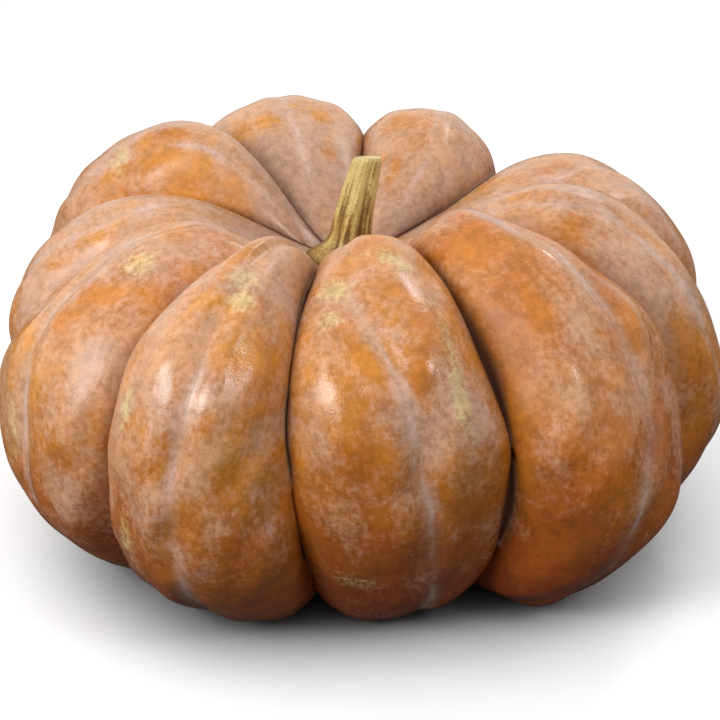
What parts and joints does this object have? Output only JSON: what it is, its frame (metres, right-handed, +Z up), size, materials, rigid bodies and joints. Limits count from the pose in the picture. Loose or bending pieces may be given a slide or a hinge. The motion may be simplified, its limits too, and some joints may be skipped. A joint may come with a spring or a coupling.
{
  "type": "pumpkin",
  "caption": "Large squat ribbed pumpkin with deep rounded lobes, a hollow top and a short cut stem, standing on its lobes.",
  "frame": {"origin": "on the ground under the middle of the fruit's outline seen from above", "axes": "+Z up along the stem, -Y out of the lobe that faces the viewer, +X to the right as one faces that lobe"},
  "size_m": [0.3933, 0.3823, 0.2152],
  "materials": {
    "rind": "waxy satin rind, burnt orange with a pale pinkish bloom and corky tan patches",
    "dry_stem": "dry ribbed stem, pale straw with ochre brown furrows"
  },
  "bodies": {
    "root": {"fruit": "rind", "stem": "dry_stem"}
  },
  "joints": []
}
